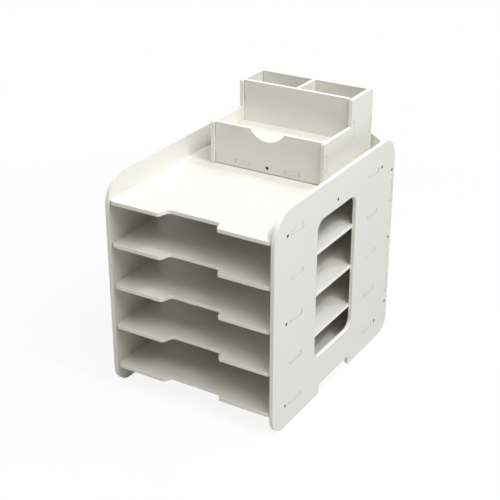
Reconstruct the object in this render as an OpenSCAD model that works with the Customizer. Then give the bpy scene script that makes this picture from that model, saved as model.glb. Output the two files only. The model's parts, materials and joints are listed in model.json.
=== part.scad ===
// Document organizer: a rack of five fixed paper shelves, slotted and screwed together from flat
// boards, with a loose pen and note box standing on its top shelf.
// X runs to the right as seen from the front, -Y is the front, +Z is up. The origin is on the
// table, under the middle of the rack. Sizes are in millimetres.

/* [Boards] */
// Thickness of every board
board_t = 5.2; // [4.4:0.1:6]
// Play between a tab and its slot, on each side
tab_play = 0.1; // [0.05:0.05:0.3]
// How far the end of a tab lies below the face that it comes through
tab_sink = 0.2; // [0:0.1:0.5]

/* [Rack] */
// Width over the side panels
rack_w = 250; // [235:1:320]
// Depth of the side panels
rack_d = 335; // [320:1:400]
// Height of the side panels above the top shelf
side_rise = 32; // [20:1:60]
// Radius of a side panel's top front corner
top_front_r = 42; // [10:1:60]
// Radius of a side panel's top rear corner
top_rear_r = 34; // [10:1:50]
// Radius of a side panel's bottom front corner
bottom_front_r = 27; // [5:1:40]
// Radius of a side panel's bottom rear corner
bottom_rear_r = 26; // [5:1:40]

/* [Foot notch] */
// Width of the notch between the front foot and the rear foot
notch_w = 87; // [40:1:150]
// Height of the notch
notch_h = 14.3; // [8:0.1:20]
// Radius of the notch's upper corners
notch_top_r = 6; // [1:0.5:7]
// Radius of the feet's corners beside the notch
notch_foot_r = 4; // [0.5:0.5:6]

/* [Side window] */
// Width of the window
window_w = 107.6; // [60:0.1:150]
// Height of the window's lower edge above the bottom shelf
window_sill = 25.5; // [10:0.1:40]
// Distance from the top shelf's underside down to the window's upper edge
window_drop = 9.5; // [8:0.1:30]
// Radius of the window's corners
window_r = 15; // [3:1:30]

/* [Shelves] */
// Height of the bottom shelf's top face above the table
first_shelf_h = 34.2; // [28:0.1:50]
// Distance from one shelf to the next
shelf_pitch = 60.2; // [50:0.1:75]
// How far the shelves start behind the side panels' front edge
shelf_setback = 1; // [0:0.5:10]
// Radius of a shelf's front corners
shelf_corner_r = 7; // [1:0.5:15]
// Width of the finger cutout at the shelf's front edge
cutout_front_w = 86; // [60:1:140]
// Width of the finger cutout at its deep edge
cutout_deep_w = 76; // [50:1:130]
// Depth of the finger cutout
cutout_depth = 16.4; // [12:0.1:22]
// Depth of the bottom shelf's finger cutout
low_cutout_depth = 10.6; // [10:0.1:22]
// Radius of the cutout's corners
cutout_r = 5; // [1:0.5:5.5]

/* [Tabs and screws] */
// Length of the rack's tabs
tab_len = 30; // [15:0.5:36]
// Distance from a shelf's front or rear edge to the middle of its nearest tab
tab_inset = 55.5; // [50:0.5:70]
// Distance from a shelf's front or rear edge to its nearest screw
screw_inset = 30.6; // [28:0.1:34]
// Diameter of a screw's shank
screw_d = 2.6; // [2:0.1:3]
// Diameter of a screw's countersunk head
screw_head_d = 4.4; // [3.8:0.1:5]
// Height of the countersunk head
screw_head_h = 1.2; // [0.8:0.1:2]
// Length of a screw, head included
screw_len = 14; // [10:0.5:16]
// How far a screw's head lies below the board's face
screw_sink = 0.5; // [0.2:0.1:1]
// Play between a screw and its hole, on each side
screw_play = 0.1; // [0.05:0.05:0.2]

/* [Back panel] */
// Distance from the side panels' rear edge to the back panel
back_inset = 6; // [2:0.5:12]
// Height of the back panel's lower edge above the table
back_foot = 14.3; // [4:0.1:30]
// Radius of the back panel's upper corners
back_corner_r = 40; // [5:1:60]
// Distance between the back panel's two tabs on one side
back_tab_pitch = 144.4; // [138:0.2:160]
// Distance from one back panel screw to the next
back_screw_pitch = 104; // [96:0.5:112]

/* [Desk box] */
// Width over the box's side panels
box_w = 174.5; // [150:0.5:200]
// Depth of the box's side panels
box_d = 139.3; // [120:0.1:160]
// Height of the box's low front part
box_low_h = 59.6; // [52:0.1:75]
// Height of the box's tall rear part
box_tall_h = 97.6; // [90:0.1:140]
// Depth of the box's tall rear part
box_tall_d = 63.1; // [58:0.1:75]
// How far the front, middle and back panels lie behind the side panels' edges
panel_setback = 3.4; // [1:0.1:6]
// How far the box stands to the right of the rack's middle
box_shift = 6.5; // [-10:0.5:10]
// Gap between the box and the rack's back panel
box_rear_gap = 4.3; // [1:0.1:12]
// Gap between the box and the shelf that it stands on
box_rest_gap = 0.05; // [0.02:0.01:0.2]
// Radius of the box's outer corners
box_corner_r = 2; // [0.5:0.5:4]
// Radius of the inner corner where the low part meets the tall part
box_step_r = 0.8; // [0.4:0.1:3]
// Length of the box's tabs
box_tab_len = 22.4; // [14:0.2:24]
// Distance between the two tabs on one edge of the box's bottom and tray floor
box_tab_pitch = 77; // [60:0.5:100]
// Height of the box bottom's underside above the shelf
bottom_lift = 5.6; // [3:0.1:10]
// Height of the tray floor's top face above the shelf
tray_floor_h = 39; // [30:0.1:44]
// Distance between the two ribs that carry the tray floor
rib_pitch = 116; // [84:1:136]
// Radius of the thumb notch in the front panel
thumb_r = 31; // [26:0.5:40]
// Depth of the thumb notch
thumb_depth = 14.4; // [8:0.1:18]
// Radius of the thumb notch's lips
thumb_lip_r = 2; // [0.5:0.5:4]

/* [Hidden] */

LEFT = -1;
RIGHT = 1;
board_color = [0.88, 0.87, 0.84];
screw_color = [0.24, 0.235, 0.22];
// A cutting tool runs past the face that it cuts by this much
over = 1;

// Rack, worked out from the sizes above
inner_w = rack_w - 2 * board_t;
front_y = -rack_d / 2;
rear_y = rack_d / 2;
back_front_y = rear_y - back_inset - board_t;
back_mid_y = back_front_y + board_t / 2;
shelf_front_y = front_y + shelf_setback;
shelf_rear_y = back_front_y;
shelf_mid_y = (shelf_front_y + shelf_rear_y) / 2;
shelf_tops = [for (k = [0:4]) first_shelf_h + k * shelf_pitch];
top_shelf_h = shelf_tops[4];
rack_h = top_shelf_h + side_rise;
tab_out = board_t - tab_sink;
shelf_tab_ys = [shelf_front_y + tab_inset, shelf_rear_y - tab_inset];
back_tab_zs = [rack_h / 2 - back_tab_pitch / 2, rack_h / 2 + back_tab_pitch / 2];
back_screw_zs = [for (k = [-1:1]) rack_h / 2 + k * back_screw_pitch];
front_screw_y = shelf_front_y + screw_inset;
rear_screw_y = shelf_rear_y - screw_inset;
// The screws' y places in each shelf, from the bottom shelf up
shelf_screw_ys = [
    [front_screw_y, rear_screw_y],
    [],
    [front_screw_y],
    [],
    [front_screw_y, shelf_mid_y, rear_screw_y]
];
window_low = shelf_tops[0] + window_sill;
window_high = top_shelf_h - board_t - window_drop;
pilot_depth = screw_len + screw_sink - board_t + 0.5;
screw_tip = 2.5;

// Desk box, in its own frame: x from its middle, y from its front edge, z from the shelf
box_in_w = box_w - 2 * board_t;
box_step = box_d - box_tall_d;
box_front_y = back_front_y - box_rear_gap - box_d;
front_in_y = panel_setback + board_t;
middle_y = box_step + panel_setback;
middle_in_y = middle_y + board_t;
back_in_y = box_d - panel_setback - board_t;
bottom_top = bottom_lift + board_t;
bottom_mid = bottom_lift + board_t / 2;
tall_mid = (bottom_top + box_tall_h) / 2;
tray_mid = tray_floor_h - board_t / 2;
tray_mid_y = (front_in_y + middle_y) / 2;
// The divider's lower tab stands midway between the middle panel and the back screw's tip
back_screw_tip_y = back_in_y + board_t - screw_sink - screw_len;
divider_tab_y = (middle_in_y + back_screw_tip_y) / 2;
box_tab_xs = [-box_tab_pitch / 2, box_tab_pitch / 2];

// A vector of length 1 along v
function unit(v) = v / norm(v);

// The points that round the corner p between its neighbours a and b with radius r
function corner_points(a, p, b, r) =
    r == 0 ? [p] :
    let (
        u = unit(a - p),
        v = unit(b - p),
        half = acos(u * v) / 2,
        centre = p + unit(u + v) * r / sin(half),
        first = p + u * r / tan(half) - centre,
        start = atan2(first[1], first[0]),
        turn = sign(cross(v, u)) * (180 - 2 * half),
        steps = ceil(3 * sqrt(r)) + 1
    )
    [for (k = [0:steps])
        let (angle = start + turn * k / steps)
        centre + r * [cos(angle), sin(angle)]];

// The outline through corners given as [x, y, radius]
function rounded(corners) =
    let (n = len(corners), at = function (k) [corners[(k + n) % n][0], corners[(k + n) % n][1]])
    [for (k = [0:n - 1]) each corner_points(at(k - 1), at(k), at(k + 1), corners[k][2])];

// A flat outline made into a level board whose underside is at height z
module level_board(z) {
    translate([0, 0, z])
        linear_extrude(board_t)
            children();
}

// A flat outline in Y and Z made into a board that starts at x
module side_board(x) {
    translate([x, 0, 0])
        rotate([90, 0, 90])
            linear_extrude(board_t)
                children();
}

// A flat outline in X and Z made into a board that starts at y
module cross_board(y) {
    translate([0, y + board_t, 0])
        rotate([90, 0, 0])
            linear_extrude(board_t)
                children();
}

// A tab that grows out of an edge at the origin along +X; it starts a little inside the board
module tab(length) {
    translate([-over, -length / 2])
        square([over + tab_out, length]);
}

// A slot for a tab of this length, long side along Y
module slot(length) {
    square([board_t + 2 * tab_play, length + 2 * tab_play], center = true);
}

// Things that point to -Z turned to point into a side panel from its outer face
module into_side(side, y, z) {
    translate([side * rack_w / 2, y, z])
        rotate([0, side * 90, 0])
            children();
}

// A countersunk screw with a cross recess: the top of its head at z = 0, its tip down
module screw() {
    head_r = screw_head_d / 2;
    shank_r = screw_d / 2;
    color(screw_color)
        difference() {
            rotate_extrude($fn = 40)
                polygon([
                    [0, -screw_len],
                    [shank_r, -screw_len + screw_tip],
                    [shank_r, -screw_head_h],
                    [head_r, 0],
                    [0, 0]
                ]);
            for (turn = [0, 90])
                rotate(turn)
                    cube([0.6 * screw_head_d, 0.14 * screw_head_d, screw_head_h], center = true);
        }
}

// The countersunk hole for a screw in a board whose outer face is at z = 0
module screw_hole() {
    head_r = screw_head_d / 2 + screw_play;
    shank_r = screw_d / 2 + screw_play;
    rotate_extrude($fn = 40)
        polygon([
            [0, -board_t - over],
            [shank_r, -board_t - over],
            [shank_r, -screw_sink - screw_head_h],
            [head_r, -screw_sink],
            [head_r, over],
            [0, over]
        ]);
}

// The pilot hole that a screw bites into, from the edge of a board at the depth of its inner face
module pilot_hole() {
    translate([0, 0, -board_t - pilot_depth])
        cylinder(d = screw_d + 2 * screw_play, h = pilot_depth + over, $fn = 40);
}

// Side panel of the rack
module side_panel_outline() {
    difference() {
        polygon(rounded([
            [front_y, 0, bottom_front_r],
            [-notch_w / 2, 0, notch_foot_r],
            [-notch_w / 2, notch_h, notch_top_r],
            [notch_w / 2, notch_h, notch_top_r],
            [notch_w / 2, 0, notch_foot_r],
            [rear_y, 0, bottom_rear_r],
            [rear_y, rack_h, top_rear_r],
            [front_y, rack_h, top_front_r]
        ]));
        polygon(rounded([
            [shelf_mid_y - window_w / 2, window_low, window_r],
            [shelf_mid_y + window_w / 2, window_low, window_r],
            [shelf_mid_y + window_w / 2, window_high, window_r],
            [shelf_mid_y - window_w / 2, window_high, window_r]
        ]));
        for (top = shelf_tops, y = shelf_tab_ys)
            translate([y, top - board_t / 2])
                rotate(90)
                    slot(tab_len);
        for (z = back_tab_zs)
            translate([back_mid_y, z])
                slot(tab_len);
    }
}

module side_panel(side) {
    color(board_color)
        difference() {
            side_board(side == LEFT ? -rack_w / 2 : inner_w / 2)
                side_panel_outline();
            for (k = [0:4], y = shelf_screw_ys[k])
                into_side(side, y, shelf_tops[k] - board_t / 2)
                    screw_hole();
            for (z = back_screw_zs)
                into_side(side, back_mid_y, z)
                    screw_hole();
        }
}

// Shelf k, counted from the bottom, with a finger cutout of this depth
module shelf(k, depth) {
    color(board_color)
        difference() {
            level_board(shelf_tops[k] - board_t) {
                polygon(rounded([
                    [-inner_w / 2, shelf_front_y, shelf_corner_r],
                    [-cutout_front_w / 2, shelf_front_y, cutout_r],
                    [-cutout_deep_w / 2, shelf_front_y + depth, cutout_r],
                    [cutout_deep_w / 2, shelf_front_y + depth, cutout_r],
                    [cutout_front_w / 2, shelf_front_y, cutout_r],
                    [inner_w / 2, shelf_front_y, shelf_corner_r],
                    [inner_w / 2, shelf_rear_y, 0],
                    [-inner_w / 2, shelf_rear_y, 0]
                ]));
                for (side = [LEFT, RIGHT], y = shelf_tab_ys)
                    translate([side * inner_w / 2, y])
                        rotate(side == LEFT ? 180 : 0)
                            tab(tab_len);
            }
            for (side = [LEFT, RIGHT], y = shelf_screw_ys[k])
                into_side(side, y, shelf_tops[k] - board_t / 2)
                    pilot_hole();
        }
}

module back_panel() {
    color(board_color)
        difference() {
            cross_board(back_front_y) {
                polygon(rounded([
                    [-inner_w / 2, back_foot, 0],
                    [inner_w / 2, back_foot, 0],
                    [inner_w / 2, rack_h, back_corner_r],
                    [-inner_w / 2, rack_h, back_corner_r]
                ]));
                for (side = [LEFT, RIGHT], z = back_tab_zs)
                    translate([side * inner_w / 2, z])
                        rotate(side == LEFT ? 180 : 0)
                            tab(tab_len);
            }
            for (side = [LEFT, RIGHT], z = back_screw_zs)
                into_side(side, back_mid_y, z)
                    pilot_hole();
        }
}

module shelf_screws(side) {
    for (k = [0:4], y = shelf_screw_ys[k])
        into_side(side, y, shelf_tops[k] - board_t / 2)
            translate([0, 0, -screw_sink])
                screw();
}

module back_screws(side) {
    for (z = back_screw_zs)
        into_side(side, back_mid_y, z)
            translate([0, 0, -screw_sink])
                screw();
}

// Things drawn in the desk box's own frame, put where the box stands
module on_top_shelf() {
    translate([box_shift, box_front_y, top_shelf_h + box_rest_gap])
        children();
}

// Stepped side panel of the desk box
module box_side(side) {
    color(board_color)
        side_board(side == LEFT ? -box_w / 2 : box_in_w / 2)
            difference() {
                polygon(rounded([
                    [0, 0, box_corner_r],
                    [box_d, 0, box_corner_r],
                    [box_d, box_tall_h, box_corner_r],
                    [box_step, box_tall_h, box_corner_r],
                    [box_step, box_low_h, box_step_r],
                    [0, box_low_h, box_corner_r]
                ]));
                translate([front_in_y - board_t / 2, box_low_h / 2])
                    slot(box_tab_len);
                translate([middle_y + board_t / 2, tall_mid])
                    slot(box_tab_len);
                translate([back_in_y + board_t / 2, box_tall_h / 2])
                    slot(box_tab_len);
            }
}

// Outline of a panel between the box's side panels, from low to high, with a tab at each side
module box_panel_outline(low, high) {
    translate([-box_in_w / 2, low])
        square([box_in_w, high - low]);
    for (side = [LEFT, RIGHT])
        translate([side * box_in_w / 2, (low + high) / 2])
            rotate(side == LEFT ? 180 : 0)
                tab(box_tab_len);
}

// The two slots for a level board whose middle is at height z
module tab_slots(z) {
    for (x = box_tab_xs)
        translate([x, z])
            rotate(90)
                slot(box_tab_len);
}

// Half-moon notch with rounded lips, cut down from the top edge of the front panel
module thumb_notch() {
    centre = [0, box_low_h + thumb_r - thumb_depth];
    lip_z = box_low_h - thumb_lip_r;
    lip_x = sqrt(pow(thumb_r + thumb_lip_r, 2) - pow(centre[1] - lip_z, 2));
    translate(centre)
        circle(r = thumb_r, $fn = 96);
    difference() {
        polygon([
            [-lip_x, box_low_h + over],
            [-lip_x, lip_z],
            centre,
            [lip_x, lip_z],
            [lip_x, box_low_h + over]
        ]);
        for (side = [LEFT, RIGHT])
            translate([side * lip_x, lip_z])
                circle(r = thumb_lip_r, $fn = 32);
    }
}

module box_front_panel() {
    color(board_color)
        difference() {
            cross_board(panel_setback)
                difference() {
                    box_panel_outline(0, box_low_h);
                    thumb_notch();
                    tab_slots(bottom_mid);
                }
            translate([0, panel_setback, bottom_mid])
                rotate([90, 0, 0])
                    screw_hole();
        }
}

module box_middle_panel() {
    color(board_color)
        cross_board(middle_y)
            difference() {
                box_panel_outline(bottom_top, box_tall_h);
                tab_slots(tray_mid);
            }
}

module box_back_panel() {
    color(board_color)
        difference() {
            cross_board(back_in_y)
                difference() {
                    box_panel_outline(0, box_tall_h);
                    tab_slots(bottom_mid);
                    translate([0, tall_mid])
                        slot(box_tab_len);
                }
            translate([0, back_in_y + board_t, bottom_mid])
                rotate([-90, 0, 0])
                    screw_hole();
        }
}

// Upright board between the two tall compartments
module box_divider() {
    color(board_color)
        side_board(-board_t / 2) {
            translate([middle_in_y, bottom_top])
                square([back_in_y - middle_in_y, box_tall_h - bottom_top]);
            translate([back_in_y, tall_mid])
                tab(box_tab_len);
            translate([divider_tab_y, bottom_top])
                rotate(-90)
                    tab(box_tab_len);
        }
}

module box_bottom() {
    color(board_color)
        difference() {
            level_board(bottom_lift)
                difference() {
                    union() {
                        translate([-box_in_w / 2, front_in_y])
                            square([box_in_w, back_in_y - front_in_y]);
                        for (x = box_tab_xs) {
                            translate([x, front_in_y])
                                rotate(-90)
                                    tab(box_tab_len);
                            translate([x, back_in_y])
                                rotate(90)
                                    tab(box_tab_len);
                        }
                    }
                    translate([0, divider_tab_y])
                        slot(box_tab_len);
                    for (side = [LEFT, RIGHT])
                        translate([side * rib_pitch / 2, tray_mid_y])
                            slot(box_tab_len);
                }
            translate([0, panel_setback, bottom_mid])
                rotate([90, 0, 0])
                    pilot_hole();
            translate([0, back_in_y + board_t, bottom_mid])
                rotate([-90, 0, 0])
                    pilot_hole();
        }
}

// Raised floor of the note tray
module box_tray_floor() {
    color(board_color)
        level_board(tray_floor_h - board_t) {
            translate([-box_in_w / 2, front_in_y])
                square([box_in_w, middle_y - front_in_y]);
            for (x = box_tab_xs)
                translate([x, middle_y])
                    rotate(90)
                        tab(box_tab_len);
        }
}

// Upright rib that carries the tray floor
module box_rib(side) {
    color(board_color)
        side_board(side * rib_pitch / 2 - board_t / 2) {
            translate([front_in_y, bottom_top])
                square([middle_y - front_in_y, tray_floor_h - board_t - bottom_top]);
            translate([tray_mid_y, bottom_top])
                rotate(-90)
                    tab(box_tab_len);
        }
}

module box_front_screw() {
    translate([0, panel_setback + screw_sink, bottom_mid])
        rotate([90, 0, 0])
            screw();
}

module box_back_screw() {
    translate([0, back_in_y + board_t - screw_sink, bottom_mid])
        rotate([-90, 0, 0])
            screw();
}

side_panel(LEFT);  // left_side_panel
side_panel(RIGHT);  // right_side_panel
shelf(4, cutout_depth);  // top_shelf
shelf(3, cutout_depth);  // upper_shelf
shelf(2, cutout_depth);  // middle_shelf
shelf(1, cutout_depth);  // lower_shelf
shelf(0, low_cutout_depth);  // bottom_shelf
back_panel();
shelf_screws(LEFT);  // left_shelf_screws
shelf_screws(RIGHT);  // right_shelf_screws
back_screws(LEFT);  // left_back_screws
back_screws(RIGHT);  // right_back_screws
on_top_shelf() box_side(LEFT);  // box_left_side
on_top_shelf() box_side(RIGHT);  // box_right_side
on_top_shelf() box_front_panel();
on_top_shelf() box_middle_panel();
on_top_shelf() box_back_panel();
on_top_shelf() box_divider();
on_top_shelf() box_bottom();
on_top_shelf() box_tray_floor();
on_top_shelf() box_rib(LEFT);  // box_left_rib
on_top_shelf() box_rib(RIGHT);  // box_right_rib
on_top_shelf() box_front_screw();
on_top_shelf() box_back_screw();
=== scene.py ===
"""A white document organizer: a rack of five paper shelves with a small desk box on top.

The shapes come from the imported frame. Every board is dressed here with softened edges and seams, and
with a procedural plastic, and every screw gets a turned head with a cross recess. Lengths are in
metres, in the frame of the CAD model: +X right, -Y front, +Z up.
"""

import json
import math
import random

import bmesh
import bpy
from mathutils import Matrix, Vector
from mathutils.bvhtree import BVHTree


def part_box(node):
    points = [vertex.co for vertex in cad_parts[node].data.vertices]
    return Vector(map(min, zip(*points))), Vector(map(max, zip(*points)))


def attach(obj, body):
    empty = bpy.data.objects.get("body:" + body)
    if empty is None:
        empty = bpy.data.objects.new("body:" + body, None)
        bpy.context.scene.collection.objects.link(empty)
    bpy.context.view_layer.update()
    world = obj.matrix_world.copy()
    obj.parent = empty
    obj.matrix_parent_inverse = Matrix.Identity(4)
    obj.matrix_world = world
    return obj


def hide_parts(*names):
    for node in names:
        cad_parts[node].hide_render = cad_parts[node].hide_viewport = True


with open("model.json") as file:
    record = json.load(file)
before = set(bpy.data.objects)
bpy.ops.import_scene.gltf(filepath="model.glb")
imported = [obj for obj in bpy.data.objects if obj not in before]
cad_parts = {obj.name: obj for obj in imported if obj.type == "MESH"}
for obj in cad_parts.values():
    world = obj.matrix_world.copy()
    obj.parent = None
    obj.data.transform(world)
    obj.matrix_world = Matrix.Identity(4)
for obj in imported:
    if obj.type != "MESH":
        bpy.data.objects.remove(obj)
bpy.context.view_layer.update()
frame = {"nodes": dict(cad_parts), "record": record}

MM = 0.001
CM2 = 0.0001

# The two bodies, with the names of their nodes
BODIES = {body: frame["record"]["behaviour"]["bodies"][body] for body in ("rack", "desk_box")}

# Camera, solved from the photograph: where it stands, how far its view turns in degrees (left of the
# depth axis, down from level, and round the line of sight), and its lens and sensor in millimetres
CAMERA_AT = Vector((0.72264, -1.20790, 0.84712))
CAMERA_LEFT = 31.248
CAMERA_DOWN = 25.802
CAMERA_ROLL = 0.044
CAMERA_LENS = 81.856
SENSOR_WIDTH = 36.0
CLIP_START = 0.05
CLIP_END = 20.0

# Tolerances for reading the frame's meshes: corners closer than WELD are one, faces within FLAT_ANGLE
# of each other are one flat, and a direction is straight along an axis from STRAIGHT up
WELD = 0.002 * MM
FLAT_ANGLE = math.radians(0.5)
STRAIGHT = 0.99

# Faces that meet at more than EDGE_ANGLE make a corner. A face that looks along its board's thickness
# by more than BROADSIDE is part of a broad side, and not only of a tab if it is above LARGE_FACE.
EDGE_ANGLE = math.radians(28)
BROADSIDE = 0.9
LARGE_FACE = 4 * CM2

# Radius of the boards' edges where they are open, where they lie in a seam, and round a tab's end
OPEN_EDGE_R = 0.35 * MM
SEAM_EDGE_R = 0.2 * MM
TAB_EDGE_R = 0.05 * MM
EDGE_SEGMENTS = 3

# An edge lies in a seam where another board is nearer than SEAM_REACH to its middle, and a face where
# another board is nearer than SEAM_DEPTH to its middle and to all its corners
SEAM_REACH = 0.6 * MM
SEAM_DEPTH = 0.9 * MM

# Tabs: how much they are cut back at their lower and upper ends along the slot, how far behind its end
# face a tab is looked for in another board, how far out of its root its faces are split from those of
# its board, and how near to that split a corner counts as lying on it
TAB_GAPS = {"rack": (0.65 * MM, 0.45 * MM), "desk_box": (0.3 * MM, 0.25 * MM)}
TAB_PROBE = 1.0 * MM
TAB_ROOT = 0.3 * MM
SPLIT_SNAP = 0.001 * MM

# Seams of the desk box: gaps between its cross panels and its sides, and under its front panel, and
# how near to a side or to the lower edge a corner counts as lying on it
CROSS_PANELS = ("box_front_panel", "box_middle_panel", "box_back_panel")
PANEL_GAP = 0.6 * MM
FRONT_PANEL_LIFT = 0.7 * MM
AT_SIDE = 0.2 * MM
AT_BOTTOM = 0.01 * MM

# Screws, with the top of the head at height 0 and the tip down
HEAD_R = 2.2 * MM
HEAD_H = 1.2 * MM
SHANK_R = 1.3 * MM
SCREW_LENGTH = 14 * MM
TIP_R = 0.15 * MM
TIP_H = 2.5 * MM
SCREW_SIDES = 48
# Radius and height of each ring of the turned shape, from the head's rounded rim to the tip
SCREW_RINGS = [
    (HEAD_R - 0.12 * MM, 0.0),
    (HEAD_R - 0.03 * MM, -0.03 * MM),
    (HEAD_R, -0.14 * MM),
    (SHANK_R, -HEAD_H),
    (SHANK_R, TIP_H - SCREW_LENGTH),
    (TIP_R, -SCREW_LENGTH),
]
# Length and half width of the cross recess's arms and height, from its eased rim to its floor
CROSS_RINGS = [
    (1.34 * MM, 0.32 * MM, 0.0),
    (1.26 * MM, 0.25 * MM, -0.1 * MM),
    (0.7 * MM, 0.16 * MM, -1.0 * MM),
]
# How much of a screw's end tells whether it is the head, and the seed for the turns of the crosses
HEAD_SLICE = 0.3 * MM
CROSS_SEED = 7

# Lamps: name, direction to the lamp (degrees right of the front, degrees up), width in metres, power in
# watts, and colour. All stand at one distance from a point in the middle of the rack.
LAMP_TARGET = Vector((0.0, 0.0, 0.17))
LAMP_DISTANCE = 2.2
LAMPS = [
    ("key", 82, 56, 0.2, 13.5, (0.88, 0.94, 1.0)),
    ("right_front", 60, 50, 1.0, 18.0, (0.985, 0.985, 0.97)),
    ("right_back", 125, 61, 0.25, 11.5, (0.93, 0.965, 1.0)),
    ("right_low", 90, 30, 0.8, 6.6, (0.9, 0.955, 1.0)),
    ("back", 165, 57, 1.0, 15.0, (0.92, 0.955, 1.0)),
    ("left_front", 318, 60, 1.8, 16.5, (0.975, 0.985, 1.0)),
    ("front", 30, 40, 1.2, 4.0, (1.0, 0.82, 0.56)),
]

# Floor: half its width, how far it lies under the feet, its grey for the light it throws back, its
# white as seen, and the share of its shadow that shows near the rack and fades out between the two
# distances from the middle
FLOOR_HALF = 4.0
FLOOR_DROP = 0.3 * MM
FLOOR_BOUNCE = 0.65
FLOOR_WHITE = 0.92
FLOOR_SHADOW = 0.11
SHADOW_NEAR = 0.35
SHADOW_FAR = 0.9

# The boards' plastic: scale of its cloudy tone, scale and upright stretch of its rubbed marks, how much
# smoother and rougher they make it over which range of their noise, and how strong the grain is
PLASTIC_IOR = 1.47
CLOUD_SCALE = 9.0
MARK_SCALE = 60.0
MARK_STRETCH = (1, 1, 0.35)
MARK_RANGE = (0.35, 0.75)
MARK_SMOOTHER = 0.05
MARK_ROUGHER = 0.1
GRAIN_STRENGTH = 0.5

# The screws' plating: darkest and lightest tone, scale of the wear between them, and its roughness
STEEL_DARK = (0.030, 0.029, 0.026)
STEEL_RUBBED = (0.075, 0.072, 0.066)
STEEL_METALLIC = 0.7
WEAR_SCALE = 1500.0
WEAR_ROUGHNESS = (0.38, 0.6)

# Where in a noise, which runs from 0 to 1, a tone is darkest and lightest
TONE_RANGE = (0.3, 0.7)

WHITE = (1.0, 1.0, 1.0, 1.0)


def link(obj):
    """Puts a new object into the scene."""
    bpy.context.scene.collection.objects.link(obj)
    return obj


# Materials


def new_material(name):
    """A material with an empty node tree and its output."""
    mat = bpy.data.materials.new(name)
    mat.use_nodes = True
    tree = mat.node_tree
    tree.nodes.clear()
    out = tree.nodes.new("ShaderNodeOutputMaterial")
    return mat, tree, out


def node(tree, kind, **values):
    """A new node, with each value set on the socket of that name, or else as a setting."""
    made = tree.nodes.new(kind)
    for key, value in values.items():
        if key in made.inputs:
            made.inputs[key].default_value = value
        else:
            setattr(made, key, value)
    return made


def noise(tree, coords, scale, detail=3.0, roughness=0.55, stretch=(1, 1, 1)):
    """A noise over the object's own coordinates."""
    place = node(tree, "ShaderNodeMapping")
    place.inputs["Scale"].default_value = stretch
    tree.links.new(coords, place.inputs["Vector"])
    made = node(tree, "ShaderNodeTexNoise", Scale=scale, Detail=detail, Roughness=roughness)
    tree.links.new(place.outputs["Vector"], made.inputs["Vector"])
    return made.outputs["Fac"]


def tone(tree, value, dark, light):
    """A colour that goes from dark to light with a noise."""
    made = tree.nodes.new("ShaderNodeValToRGB")
    for element, at, color in zip(made.color_ramp.elements, TONE_RANGE, (dark, light)):
        element.position = at
        element.color = (*color, 1.0)
    tree.links.new(value, made.inputs["Fac"])
    return made.outputs["Color"]


def map_range(tree, value, source, target):
    """A value moved from the source range to the target range, and held at its ends."""
    made = node(tree, "ShaderNodeMapRange")
    limits = dict(zip(("From Min", "From Max", "To Min", "To Max"), (*source, *target)))
    for key, limit in limits.items():
        made.inputs[key].default_value = limit
    tree.links.new(value, made.inputs["Value"])
    return made.outputs["Result"]


def board_material(name, base, spread, roughness, grain_scale, grain_height):
    """White foamed plastic: faint cloudy tone, a few rubbed marks in the gloss, and a fine grain."""
    mat, tree, out = new_material(name)
    coords = tree.nodes.new("ShaderNodeTexCoord").outputs["Object"]
    shader = node(tree, "ShaderNodeBsdfPrincipled", IOR=PLASTIC_IOR)
    clouds = noise(tree, coords, CLOUD_SCALE, detail=4.0)
    dark = tuple(c * (1 - spread) for c in base)
    light = tuple(min(1.0, c * (1 + spread)) for c in base)
    tree.links.new(tone(tree, clouds, dark, light), shader.inputs["Base Color"])
    marks = noise(tree, coords, MARK_SCALE, detail=5.0, roughness=0.7, stretch=MARK_STRETCH)
    gloss = map_range(tree, marks, MARK_RANGE, (roughness - MARK_SMOOTHER, roughness + MARK_ROUGHER))
    tree.links.new(gloss, shader.inputs["Roughness"])
    grain = noise(tree, coords, grain_scale, detail=2.0)
    bump = node(tree, "ShaderNodeBump", Strength=GRAIN_STRENGTH, Distance=grain_height)
    tree.links.new(grain, bump.inputs["Height"])
    tree.links.new(bump.outputs["Normal"], shader.inputs["Normal"])
    tree.links.new(shader.outputs["BSDF"], out.inputs["Surface"])
    return mat


def screw_material():
    """Dark plated steel, a little rubbed."""
    mat, tree, out = new_material("dark_plated_steel")
    coords = tree.nodes.new("ShaderNodeTexCoord").outputs["Object"]
    shader = node(tree, "ShaderNodeBsdfPrincipled", Metallic=STEEL_METALLIC)
    wear = noise(tree, coords, WEAR_SCALE)
    tree.links.new(tone(tree, wear, STEEL_DARK, STEEL_RUBBED), shader.inputs["Base Color"])
    tree.links.new(map_range(tree, wear, (0, 1), WEAR_ROUGHNESS), shader.inputs["Roughness"])
    tree.links.new(shader.outputs["BSDF"], out.inputs["Surface"])
    return mat


# The edges get a lighter copy of the plastic, painted light that brightens the front-facing edges beyond
# what the lamps give, and a coarser grain and gloss. Faces deep in a seam get a dark grey: painted shade,
# as the plastic there is the same white.
SMOOTH = {"spread": 0.008, "roughness": 0.42, "grain_scale": 1400.0, "grain_height": 0.03 * MM}
SAWN = {"spread": 0.012, "roughness": 0.6, "grain_scale": 2600.0, "grain_height": 0.05 * MM}
SHADE_FINISH = {"spread": 0.05, "roughness": 0.8, "grain_scale": 2600.0, "grain_height": 0.05 * MM}
FACE = board_material("white_board_face", (0.745, 0.733, 0.675), **SMOOTH)
LIGHTENED_EDGE = board_material("board_edge_painted_light", (0.885, 0.87, 0.80), **SAWN)
LIGHTENED_BOX_EDGE = board_material("box_edge_painted_light", (0.8, 0.787, 0.726), **SAWN)
# Painted shade: a dark grey for the faces that lie deep in a seam
SEAM_SHADE = board_material("seam_painted_shade", (0.2, 0.196, 0.18), **SHADE_FINISH)
STEEL = screw_material()

# Places of the materials on a board
FACE_INDEX = 0
EDGE_INDEX = 1
SEAM_SHADE_INDEX = 2


# Boards


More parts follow.
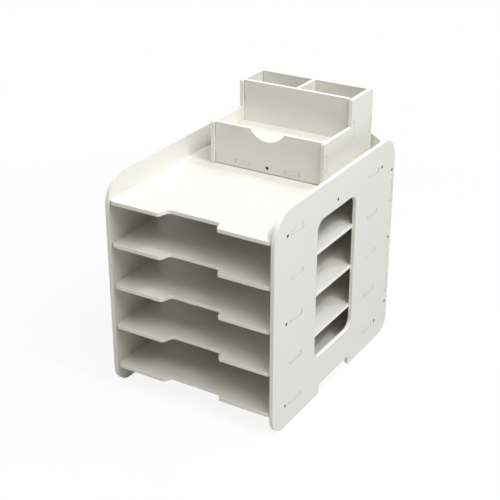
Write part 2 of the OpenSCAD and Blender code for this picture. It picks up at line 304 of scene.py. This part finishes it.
def welded(source):
    """The node's mesh with shared corners joined and flat areas merged."""
    bm = bmesh.new()
    verts = [bm.verts.new(v.co) for v in source.data.vertices]
    for face in source.data.polygons:
        bm.faces.new([verts[i] for i in face.vertices])
    bmesh.ops.remove_doubles(bm, verts=bm.verts, dist=WELD)
    bmesh.ops.dissolve_limit(
        bm, angle_limit=FLAT_ANGLE, verts=bm.verts, edges=bm.edges, use_dissolve_boundaries=False
    )
    bmesh.ops.recalc_face_normals(bm, faces=bm.faces)
    return bm


def tree_of(name):
    """A search tree over a node's surface, for the distance from any point to it."""
    mesh = frame["nodes"][name].data
    return BVHTree.FromPolygons([v.co for v in mesh.vertices], [p.vertices for p in mesh.polygons])


def thin_axis(name):
    """The axis of a board's thickness."""
    low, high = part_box(name)
    size = high - low
    return min(range(3), key=lambda k: size[k])


def inside(point, box):
    low, high = box
    return all(low[k] < point[k] < high[k] for k in range(3))


def near_any(point, neighbours, reach):
    """Whether the surface of any neighbour is within reach of a point."""
    return any(tree.find_nearest(point, reach)[0] is not None for tree in neighbours)


def find_tab_ends(bm, axis, boxes):
    """The end faces of a board's tabs, each with the axis it looks along, its middle and its normal.

    Such a face has four corners, is on the board's rim, and lies in another board's box.
    """
    ends = []
    for face in bm.faces:
        out = face.normal.copy()
        along = max(range(3), key=lambda k: abs(out[k]))
        corners_out = all(len(e.link_faces) == 2 and e.is_convex for e in face.edges)
        if along == axis or abs(out[along]) < STRAIGHT or len(face.edges) != 4 or not corners_out:
            continue
        middle = face.calc_center_bounds()
        if any(inside(middle - out * TAB_PROBE, box) for box in boxes):
            ends.append((face, along, middle, out))
    return ends


def ease_tabs(bm, axis, boxes, gaps):
    """Cuts the tabs back along their slots, splits them from their board at the root, and returns
    the faces at their ends."""
    ends = find_tab_ends(bm, axis, boxes)
    splits = {}
    for face, along, middle, out in ends:
        across = 3 - axis - along
        for vert in list(face.verts):
            partners = [e.other_vert(vert) for e in vert.link_edges]
            feet = [p for p in partners if abs((p.co - vert.co).normalized()[along]) > STRAIGHT]
            shift = -gaps[1] if vert.co[across] > middle[across] else gaps[0]
            for moved in [vert] + feet:
                moved.co[across] += shift
            for foot in feet:
                plane = (along, round(out[along]), round(foot.co[along] / MM, 1))
                splits[plane] = foot.co + out * TAB_ROOT
    for (along, side, _), spot in splits.items():
        normal = Vector((0, 0, 0))
        normal[along] = side
        parts = bm.verts[:] + bm.edges[:] + bm.faces[:]
        bmesh.ops.bisect_plane(bm, geom=parts, dist=SPLIT_SNAP, plane_co=spot, plane_no=normal)
    return {face for face, *_ in ends}


def ease_box_panel(bm, name):
    """Opens the seams beside a cross panel of the desk box, and the one under its front panel."""
    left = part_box("box_left_side")[1].x
    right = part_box("box_right_side")[0].x
    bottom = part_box(name)[0].z
    for vert in bm.verts:
        if abs(vert.co.x - left) < AT_SIDE:
            vert.co.x += PANEL_GAP
        if abs(vert.co.x - right) < AT_SIDE:
            vert.co.x -= PANEL_GAP
        if name == "box_front_panel" and vert.co.z < bottom + AT_BOTTOM:
            vert.co.z += FRONT_PANEL_LIFT


def chains(edges):
    """Groups of edges that run on into each other without a corner."""
    wanted = set(edges)
    groups = []
    while wanted:
        stack = [wanted.pop()]
        group = []
        while stack:
            edge = stack.pop()
            group.append(edge)
            for vert in edge.verts:
                along = (edge.other_vert(vert).co - vert.co).normalized()
                for other in vert.link_edges:
                    if other not in wanted:
                        continue
                    onward = (vert.co - other.other_vert(vert).co).normalized()
                    if along.dot(onward) > math.cos(EDGE_ANGLE):
                        wanted.remove(other)
                        stack.append(other)
        groups.append(group)
    return groups


def weigh_edges(bm, tab_ends, neighbours):
    """Sets how round each corner edge gets: a run of edges that lies mostly in a seam is sharper, and
    one round a tab's end is sharpest."""
    weight = bm.edges.layers.float.new("bevel_weight_edge")
    corners = [
        e for e in bm.edges
        if len(e.link_faces) == 2 and e.is_convex and e.calc_face_angle() > EDGE_ANGLE
    ]
    for group in chains(corners):
        hidden = 0.0
        whole = 0.0
        for edge in group:
            middle = (edge.verts[0].co + edge.verts[1].co) / 2
            length = edge.calc_length()
            whole += length
            if near_any(middle, neighbours, SEAM_REACH):
                hidden += length
        for edge in group:
            edge[weight] = SEAM_EDGE_R / OPEN_EDGE_R if hidden > whole / 2 else 1.0
    for face in tab_ends:
        for edge in face.edges:
            edge[weight] = TAB_EDGE_R / OPEN_EDGE_R


def in_seam(face, neighbours):
    """Whether a face lies against other boards at its middle and at all its corners."""
    spots = [face.calc_center_bounds()] + [v.co for v in face.verts]
    return all(near_any(spot, neighbours, SEAM_DEPTH) for spot in spots)


def sort_faces(bm, axis, tab_ends, neighbours):
    """Gives each face its material: a board's own sides and tab ends, edges in a lighter copy of the
    plastic that paints in light, or seam faces in a dark grey that paints in shade.
    """
    for face in bm.faces:
        face.smooth = True
        flat = abs(face.normal[axis]) > BROADSIDE
        if face in tab_ends or (flat and face.calc_area() > LARGE_FACE):
            face.material_index = FACE_INDEX
        elif in_seam(face, neighbours):
            face.material_index = SEAM_SHADE_INDEX
        else:
            face.material_index = FACE_INDEX if flat else EDGE_INDEX


def dress_board(name, body, neighbours, boxes):
    """A softened copy of a board: open edges get the larger radius, and those in a seam the small one."""
    bm = welded(frame["nodes"][name])
    axis = thin_axis(name)
    tab_ends = ease_tabs(bm, axis, boxes, TAB_GAPS[body])
    if name in CROSS_PANELS:
        ease_box_panel(bm, name)
    weigh_edges(bm, tab_ends, neighbours)
    sort_faces(bm, axis, tab_ends, neighbours)
    mesh = bpy.data.meshes.new(name + "_board")
    bm.to_mesh(mesh)
    bm.free()
    mesh.set_sharp_from_angle(angle=EDGE_ANGLE)
    # Edges take the lighter copy of the plastic (painted light), lighter on the rack than on the box, and
    # seam faces the dark grey (painted shade)
    for material in (FACE, LIGHTENED_EDGE if body == "rack" else LIGHTENED_BOX_EDGE, SEAM_SHADE):
        mesh.materials.append(material)
    board = link(bpy.data.objects.new(name + "_board", mesh))
    bevel = board.modifiers.new("soft_edges", "BEVEL")
    bevel.width = OPEN_EDGE_R
    bevel.segments = EDGE_SEGMENTS
    bevel.limit_method = "WEIGHT"
    bevel.use_clamp_overlap = False
    bevel.harden_normals = True
    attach(board, body)
    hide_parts(name)


def dress_boards():
    nodes = [(name, body) for body, names in BODIES.items() for name in names]
    boards = [(name, body) for name, body in nodes if "screw" not in name]
    trees = {name: tree_of(name) for name, _ in nodes}
    boxes = {name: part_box(name) for name, _ in boards}
    for name, body in boards:
        other_trees = [tree for other, tree in trees.items() if other != name]
        other_boxes = [box for other, box in boxes.items() if other != name]
        dress_board(name, body, other_trees, other_boxes)


# Screws


def ring(bm, radius, z):
    """The corners of a circle round the screw's axis."""
    turns = [2 * math.pi * k / SCREW_SIDES for k in range(SCREW_SIDES)]
    return [bm.verts.new((radius * math.cos(a), radius * math.sin(a), z)) for a in turns]


def cross(bm, arm, half, z):
    """The corners of a cross round the screw's axis."""
    quarter = [(arm, -half), (arm, half), (half, half)]
    made = []
    for turn in range(4):
        c = math.cos(turn * math.pi / 2)
        s = math.sin(turn * math.pi / 2)
        made += [bm.verts.new((x * c - y * s, x * s + y * c, z)) for x, y in quarter]
    return made


def walls(bm, loops):
    """Faces between each closed loop of corners and the next, and a face that closes the last."""
    for upper, lower in zip(loops, loops[1:]):
        for k in range(len(upper)):
            j = (k + 1) % len(upper)
            bm.faces.new((upper[k], lower[k], lower[j], upper[j]))
    bm.faces.new(loops[-1])


def screw_mesh():
    """One screw, with the flat of its head filled in round the cross recess."""
    bm = bmesh.new()
    rings = [ring(bm, *sizes) for sizes in SCREW_RINGS]
    crosses = [cross(bm, *sizes) for sizes in CROSS_RINGS]
    walls(bm, rings)
    walls(bm, crosses)
    rims = []
    for loop in (rings[0], crosses[0]):
        rims += [bm.edges.get((loop[k], loop[(k + 1) % len(loop)])) for k in range(len(loop))]
    bmesh.ops.triangle_fill(bm, edges=rims, use_beauty=True)
    bmesh.ops.recalc_face_normals(bm, faces=bm.faces)
    mesh = bpy.data.meshes.new("one_screw")
    bm.to_mesh(mesh)
    bm.free()
    return mesh


def loose_parts(bm):
    """The places of the corners of each part that hangs together."""
    left = set(bm.verts)
    parts = []
    while left:
        stack = [left.pop()]
        part = []
        while stack:
            vert = stack.pop()
            part.append(vert.co.copy())
            for edge in vert.link_edges:
                other = edge.other_vert(vert)
                if other in left:
                    left.remove(other)
                    stack.append(other)
        parts.append(part)
    return parts


def head_of(part):
    """The centre of a screw's head and the direction it looks in: the wider one of its two ends."""
    low = Vector(min(p[k] for p in part) for k in range(3))
    high = Vector(max(p[k] for p in part) for k in range(3))
    middle = (low + high) / 2
    axis = max(range(3), key=lambda k: (high - low)[k])
    widths = {}
    for side, end in ((-1, low[axis]), (1, high[axis])):
        near = [p - middle for p in part if abs(p[axis] - end) < HEAD_SLICE]
        widths[side, end] = max(p.length_squared - p[axis] ** 2 for p in near)
    side, end = max(widths, key=widths.get)
    out = Vector((0, 0, 0))
    out[axis] = side
    at = middle.copy()
    at[axis] = end
    return at, out


def screw_places(name):
    """The head's centre and outward direction of each screw in a node, in a fixed order."""
    bm = bmesh.new()
    bm.from_mesh(frame["nodes"][name].data)
    bmesh.ops.remove_doubles(bm, verts=bm.verts, dist=WELD)
    places = [head_of(part) for part in loose_parts(bm)]
    bm.free()
    return sorted(places, key=lambda place: tuple(round(c, 5) for c in place[0]))


def dress_screws(name, body, one, turns):
    """All screws of a node as one piece, each with its cross turned at random."""
    bm = bmesh.new()
    for at, out in screw_places(name):
        turn = Matrix.Rotation(turns.uniform(0, math.pi / 2), 4, "Z")
        place = Matrix.Translation(at) @ out.to_track_quat("Z", "Y").to_matrix().to_4x4() @ turn
        start = len(bm.verts)
        bm.from_mesh(one)
        bm.verts.ensure_lookup_table()
        bmesh.ops.transform(bm, matrix=place, verts=bm.verts[start:])
    for face in bm.faces:
        face.smooth = True
    mesh = bpy.data.meshes.new(name + "_set")
    bm.to_mesh(mesh)
    bm.free()
    mesh.set_sharp_from_angle(angle=EDGE_ANGLE)
    mesh.materials.append(STEEL)
    screws = link(bpy.data.objects.new(name + "_set", mesh))
    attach(screws, body)
    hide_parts(name)


def dress_all_screws():
    one = screw_mesh()
    turns = random.Random(CROSS_SEED)
    for body, names in BODIES.items():
        for name in names:
            if "screw" in name:
                dress_screws(name, body, one, turns)
    bpy.data.meshes.remove(one)


# Stage


def seen_as_background(tree):
    """1 for camera, glossy and transmission rays, and 0 for the rays that light the object."""
    path = tree.nodes.new("ShaderNodeLightPath")
    seen = path.outputs["Is Camera Ray"]
    for ray in ("Is Glossy Ray", "Is Transmission Ray"):
        either = node(tree, "ShaderNodeMath", operation="MAXIMUM")
        tree.links.new(seen, either.inputs[0])
        tree.links.new(path.outputs[ray], either.inputs[1])
        seen = either.outputs["Value"]
    return seen


def floor_material():
    """White where it is seen, with a share of its shadow near the rack, and grey for other rays."""
    mat, tree, out = new_material("pale_floor")
    seen = seen_as_background(tree)
    grey = node(tree, "ShaderNodeMath", operation="MULTIPLY_ADD")
    grey.inputs[1].default_value = FLOOR_WHITE - FLOOR_BOUNCE
    grey.inputs[2].default_value = FLOOR_BOUNCE
    tree.links.new(seen, grey.inputs[0])
    lit = tree.nodes.new("ShaderNodeBsdfDiffuse")
    tree.links.new(grey.outputs["Value"], lit.inputs["Color"])
    white = node(tree, "ShaderNodeEmission", Color=WHITE, Strength=1.0)
    place = tree.nodes.new("ShaderNodeTexCoord").outputs["Object"]
    distance = node(tree, "ShaderNodeVectorMath", operation="LENGTH")
    tree.links.new(place, distance.inputs[0])
    reach = (SHADOW_NEAR, SHADOW_FAR)
    fade = map_range(tree, distance.outputs["Value"], reach, (1.0 - FLOOR_SHADOW, 1.0))
    share = node(tree, "ShaderNodeMath", operation="MULTIPLY")
    tree.links.new(seen, share.inputs[0])
    tree.links.new(fade, share.inputs[1])
    mix = tree.nodes.new("ShaderNodeMixShader")
    tree.links.new(share.outputs["Value"], mix.inputs["Fac"])
    tree.links.new(lit.outputs["BSDF"], mix.inputs[1])
    tree.links.new(white.outputs["Emission"], mix.inputs[2])
    tree.links.new(mix.outputs["Shader"], out.inputs["Surface"])
    return mat


def make_floor():
    mesh = bpy.data.meshes.new("floor")
    sides = [(-1, -1), (1, -1), (1, 1), (-1, 1)]
    corners = [(x * FLOOR_HALF, y * FLOOR_HALF, -FLOOR_DROP) for x, y in sides]
    mesh.from_pydata(corners, [], [(0, 1, 2, 3)])
    mesh.materials.append(floor_material())
    link(bpy.data.objects.new("floor", mesh))


def make_world():
    """White where it is seen, and dark for the rays that light the object: the lamps do that."""
    world = bpy.data.worlds.new("studio")
    world.use_nodes = True
    tree = world.node_tree
    tree.nodes.clear()
    out = tree.nodes.new("ShaderNodeOutputWorld")
    white = node(tree, "ShaderNodeBackground", Color=WHITE)
    tree.links.new(seen_as_background(tree), white.inputs["Strength"])
    tree.links.new(white.outputs["Background"], out.inputs["Surface"])
    bpy.context.scene.world = world


def make_lamps():
    for name, around, up, size, power, color in LAMPS:
        a = math.radians(around)
        e = math.radians(up)
        towards = Vector((math.sin(a) * math.cos(e), -math.cos(a) * math.cos(e), math.sin(e)))
        data = bpy.data.lights.new(name, "AREA")
        data.shape = "DISK"
        data.size = size
        data.energy = power
        data.color = color
        lamp = link(bpy.data.objects.new(name, data))
        lamp.location = LAMP_TARGET + towards * LAMP_DISTANCE
        lamp.rotation_euler = towards.to_track_quat("Z", "Y").to_euler()


def make_camera():
    data = bpy.data.cameras.new("camera")
    data.lens = CAMERA_LENS
    data.sensor_width = SENSOR_WIDTH
    data.clip_start = CLIP_START
    data.clip_end = CLIP_END
    camera = link(bpy.data.objects.new("camera", data))
    place = Matrix.Translation(CAMERA_AT)
    for degrees, axis in ((CAMERA_LEFT, "Z"), (90 - CAMERA_DOWN, "X"), (CAMERA_ROLL, "Z")):
        place = place @ Matrix.Rotation(math.radians(degrees), 4, axis)
    camera.matrix_world = place
    bpy.context.scene.camera = camera


dress_boards()
dress_all_screws()
make_floor()
make_world()
make_lamps()
make_camera()
bpy.context.scene.view_settings.view_transform = "Standard"

bpy.context.view_layer.update()
